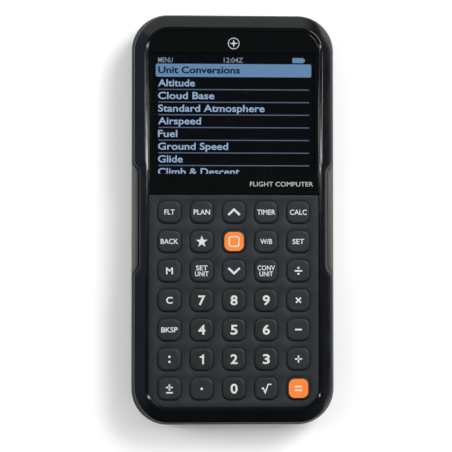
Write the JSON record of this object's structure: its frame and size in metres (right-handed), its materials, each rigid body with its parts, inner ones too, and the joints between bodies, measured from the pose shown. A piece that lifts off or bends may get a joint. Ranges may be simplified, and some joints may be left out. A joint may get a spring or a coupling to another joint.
{
  "type": "electronic flight computer",
  "caption": "Handheld electronic flight computer: colour display over a keypad of rounded square keys, gloss bezel on a grey back shell with finger grips and a battery door.",
  "frame": {"origin": "middle of the back, on the surface that the computer lies on", "axes": "+X to the right of the face, +Y towards the display end, +Z out of the face"},
  "size_m": [0.0828, 0.1676, 0.0203],
  "materials": {
    "bezel": "high gloss moulded",
    "shell": "fine spark-eroded texture",
    "window": "polished, black printed border",
    "keypad": "soft matt silicone",
    "orange_key": "soft matt silicone, orange top",
    "lcd": "polished",
    "screen_image": "lit menu of the display",
    "legend_ink": "screen-printed ink",
    "backlight": "satin white",
    "board": "solder mask",
    "ribbon": "smooth film",
    "cell": "shrink sleeve",
    "contact_metal": "nickel plated",
    "screw_metal": "zinc plated"
  },
  "bodies": {
    "case": {"back_shell": "shell", "front_bezel": "bezel", "display_window": "window", "keypad_mat": "keypad", "display_panel": "lcd", "display_backlight": "backlight", "main_board": "board", "keypad_board": "board", "board_ribbon": "ribbon", "usb_socket": "contact_metal", "battery_cell_1": "cell", "battery_cell_2": "cell", "battery_cell_3": "cell", "battery_cell_4": "cell", "case_screw_1": "screw_metal", "case_screw_2": "screw_metal", "case_screw_3": "screw_metal", "case_screw_4": "screw_metal", "contact_bridge_left": "contact_metal", "contact_bridge_right": "contact_metal", "contact_negative": "contact_metal", "contact_bridge_lower": "contact_metal", "contact_positive": "contact_metal"},
    "key_flt": {"key_flt": "keypad"},
    "key_plan": {"key_plan": "keypad"},
    "key_up": {"key_up": "keypad"},
    "key_timer": {"key_timer": "keypad"},
    "key_calc": {"key_calc": "keypad"},
    "key_back": {"key_back": "keypad"},
    "key_star": {"key_star": "keypad"},
    "key_select": {"key_select": "orange_key"},
    "key_weight_balance": {"key_weight_balance": "keypad"},
    "key_set": {"key_set": "keypad"},
    "key_memory": {"key_memory": "keypad"},
    "key_set_unit": {"key_set_unit": "keypad"},
    "key_down": {"key_down": "keypad"},
    "key_conv_unit": {"key_conv_unit": "keypad"},
    "key_divide": {"key_divide": "keypad"},
    "key_clear": {"key_clear": "keypad"},
    "key_7": {"key_7": "keypad"},
    "key_8": {"key_8": "keypad"},
    "key_9": {"key_9": "keypad"},
    "key_multiply": {"key_multiply": "keypad"},
    "key_backspace": {"key_backspace": "keypad"},
    "key_4": {"key_4": "keypad"},
    "key_5": {"key_5": "keypad"},
    "key_6": {"key_6": "keypad"},
    "key_minus": {"key_minus": "keypad"},
    "key_colon": {"key_colon": "keypad"},
    "key_1": {"key_1": "keypad"},
    "key_2": {"key_2": "keypad"},
    "key_3": {"key_3": "keypad"},
    "key_plus": {"key_plus": "keypad"},
    "key_sign": {"key_sign": "keypad"},
    "key_point": {"key_point": "keypad"},
    "key_0": {"key_0": "keypad"},
    "key_root": {"key_root": "keypad"},
    "key_equals": {"key_equals": "orange_key"},
    "power_key": {"power_key": "shell"},
    "battery_door": {"battery_door": "shell"}
  },
  "joints": [
    {"name": "battery_door_tilt", "type": "hinge", "parent": "case", "child": "battery_door", "pos_m": [0, -0.0675, 0.0003], "axis": [-1, 0, 0], "range_deg": [0, 45]},
    {"name": "power_key_press", "type": "slide", "parent": "case", "child": "power_key", "axis": [0, -1, 0], "range_m": [0, 0.0005], "stiffness_N_per_m": 1500, "springref_m": -0.0003},
    {"name": "key_flt_press", "type": "slide", "parent": "case", "child": "key_flt", "axis": [0, 0, -1], "range_m": [0, 0.0009], "stiffness_N_per_m": 800, "springref_m": -0.0003},
    {"name": "key_plan_press", "type": "slide", "parent": "case", "child": "key_plan", "axis": [0, 0, -1], "range_m": [0, 0.0009], "stiffness_N_per_m": 800, "springref_m": -0.0003},
    {"name": "key_up_press", "type": "slide", "parent": "case", "child": "key_up", "axis": [0, 0, -1], "range_m": [0, 0.0009], "stiffness_N_per_m": 800, "springref_m": -0.0003},
    {"name": "key_timer_press", "type": "slide", "parent": "case", "child": "key_timer", "axis": [0, 0, -1], "range_m": [0, 0.0009], "stiffness_N_per_m": 800, "springref_m": -0.0003},
    {"name": "key_calc_press", "type": "slide", "parent": "case", "child": "key_calc", "axis": [0, 0, -1], "range_m": [0, 0.0009], "stiffness_N_per_m": 800, "springref_m": -0.0003},
    {"name": "key_back_press", "type": "slide", "parent": "case", "child": "key_back", "axis": [0, 0, -1], "range_m": [0, 0.0009], "stiffness_N_per_m": 800, "springref_m": -0.0003},
    {"name": "key_star_press", "type": "slide", "parent": "case", "child": "key_star", "axis": [0, 0, -1], "range_m": [0, 0.0009], "stiffness_N_per_m": 800, "springref_m": -0.0003},
    {"name": "key_select_press", "type": "slide", "parent": "case", "child": "key_select", "axis": [0, 0, -1], "range_m": [0, 0.0009], "stiffness_N_per_m": 800, "springref_m": -0.0003},
    {"name": "key_weight_balance_press", "type": "slide", "parent": "case", "child": "key_weight_balance", "axis": [0, 0, -1], "range_m": [0, 0.0009], "stiffness_N_per_m": 800, "springref_m": -0.0003},
    {"name": "key_set_press", "type": "slide", "parent": "case", "child": "key_set", "axis": [0, 0, -1], "range_m": [0, 0.0009], "stiffness_N_per_m": 800, "springref_m": -0.0003},
    {"name": "key_memory_press", "type": "slide", "parent": "case", "child": "key_memory", "axis": [0, 0, -1], "range_m": [0, 0.0009], "stiffness_N_per_m": 800, "springref_m": -0.0003},
    {"name": "key_set_unit_press", "type": "slide", "parent": "case", "child": "key_set_unit", "axis": [0, 0, -1], "range_m": [0, 0.0009], "stiffness_N_per_m": 800, "springref_m": -0.0003},
    {"name": "key_down_press", "type": "slide", "parent": "case", "child": "key_down", "axis": [0, 0, -1], "range_m": [0, 0.0009], "stiffness_N_per_m": 800, "springref_m": -0.0003},
    {"name": "key_conv_unit_press", "type": "slide", "parent": "case", "child": "key_conv_unit", "axis": [0, 0, -1], "range_m": [0, 0.0009], "stiffness_N_per_m": 800, "springref_m": -0.0003},
    {"name": "key_divide_press", "type": "slide", "parent": "case", "child": "key_divide", "axis": [0, 0, -1], "range_m": [0, 0.0009], "stiffness_N_per_m": 800, "springref_m": -0.0003},
    {"name": "key_clear_press", "type": "slide", "parent": "case", "child": "key_clear", "axis": [0, 0, -1], "range_m": [0, 0.0009], "stiffness_N_per_m": 800, "springref_m": -0.0003},
    {"name": "key_7_press", "type": "slide", "parent": "case", "child": "key_7", "axis": [0, 0, -1], "range_m": [0, 0.0009], "stiffness_N_per_m": 800, "springref_m": -0.0003},
    {"name": "key_8_press", "type": "slide", "parent": "case", "child": "key_8", "axis": [0, 0, -1], "range_m": [0, 0.0009], "stiffness_N_per_m": 800, "springref_m": -0.0003},
    {"name": "key_9_press", "type": "slide", "parent": "case", "child": "key_9", "axis": [0, 0, -1], "range_m": [0, 0.0009], "stiffness_N_per_m": 800, "springref_m": -0.0003},
    {"name": "key_multiply_press", "type": "slide", "parent": "case", "child": "key_multiply", "axis": [0, 0, -1], "range_m": [0, 0.0009], "stiffness_N_per_m": 800, "springref_m": -0.0003},
    {"name": "key_backspace_press", "type": "slide", "parent": "case", "child": "key_backspace", "axis": [0, 0, -1], "range_m": [0, 0.0009], "stiffness_N_per_m": 800, "springref_m": -0.0003},
    {"name": "key_4_press", "type": "slide", "parent": "case", "child": "key_4", "axis": [0, 0, -1], "range_m": [0, 0.0009], "stiffness_N_per_m": 800, "springref_m": -0.0003},
    {"name": "key_5_press", "type": "slide", "parent": "case", "child": "key_5", "axis": [0, 0, -1], "range_m": [0, 0.0009], "stiffness_N_per_m": 800, "springref_m": -0.0003},
    {"name": "key_6_press", "type": "slide", "parent": "case", "child": "key_6", "axis": [0, 0, -1], "range_m": [0, 0.0009], "stiffness_N_per_m": 800, "springref_m": -0.0003},
    {"name": "key_minus_press", "type": "slide", "parent": "case", "child": "key_minus", "axis": [0, 0, -1], "range_m": [0, 0.0009], "stiffness_N_per_m": 800, "springref_m": -0.0003},
    {"name": "key_colon_press", "type": "slide", "parent": "case", "child": "key_colon", "axis": [0, 0, -1], "range_m": [0, 0.0009], "stiffness_N_per_m": 800, "springref_m": -0.0003},
    {"name": "key_1_press", "type": "slide", "parent": "case", "child": "key_1", "axis": [0, 0, -1], "range_m": [0, 0.0009], "stiffness_N_per_m": 800, "springref_m": -0.0003},
    {"name": "key_2_press", "type": "slide", "parent": "case", "child": "key_2", "axis": [0, 0, -1], "range_m": [0, 0.0009], "stiffness_N_per_m": 800, "springref_m": -0.0003},
    {"name": "key_3_press", "type": "slide", "parent": "case", "child": "key_3", "axis": [0, 0, -1], "range_m": [0, 0.0009], "stiffness_N_per_m": 800, "springref_m": -0.0003},
    {"name": "key_plus_press", "type": "slide", "parent": "case", "child": "key_plus", "axis": [0, 0, -1], "range_m": [0, 0.0009], "stiffness_N_per_m": 800, "springref_m": -0.0003},
    {"name": "key_sign_press", "type": "slide", "parent": "case", "child": "key_sign", "axis": [0, 0, -1], "range_m": [0, 0.0009], "stiffness_N_per_m": 800, "springref_m": -0.0003},
    {"name": "key_point_press", "type": "slide", "parent": "case", "child": "key_point", "axis": [0, 0, -1], "range_m": [0, 0.0009], "stiffness_N_per_m": 800, "springref_m": -0.0003},
    {"name": "key_0_press", "type": "slide", "parent": "case", "child": "key_0", "axis": [0, 0, -1], "range_m": [0, 0.0009], "stiffness_N_per_m": 800, "springref_m": -0.0003},
    {"name": "key_root_press", "type": "slide", "parent": "case", "child": "key_root", "axis": [0, 0, -1], "range_m": [0, 0.0009], "stiffness_N_per_m": 800, "springref_m": -0.0003},
    {"name": "key_equals_press", "type": "slide", "parent": "case", "child": "key_equals", "axis": [0, 0, -1], "range_m": [0, 0.0009], "stiffness_N_per_m": 800, "springref_m": -0.0003}
  ]
}
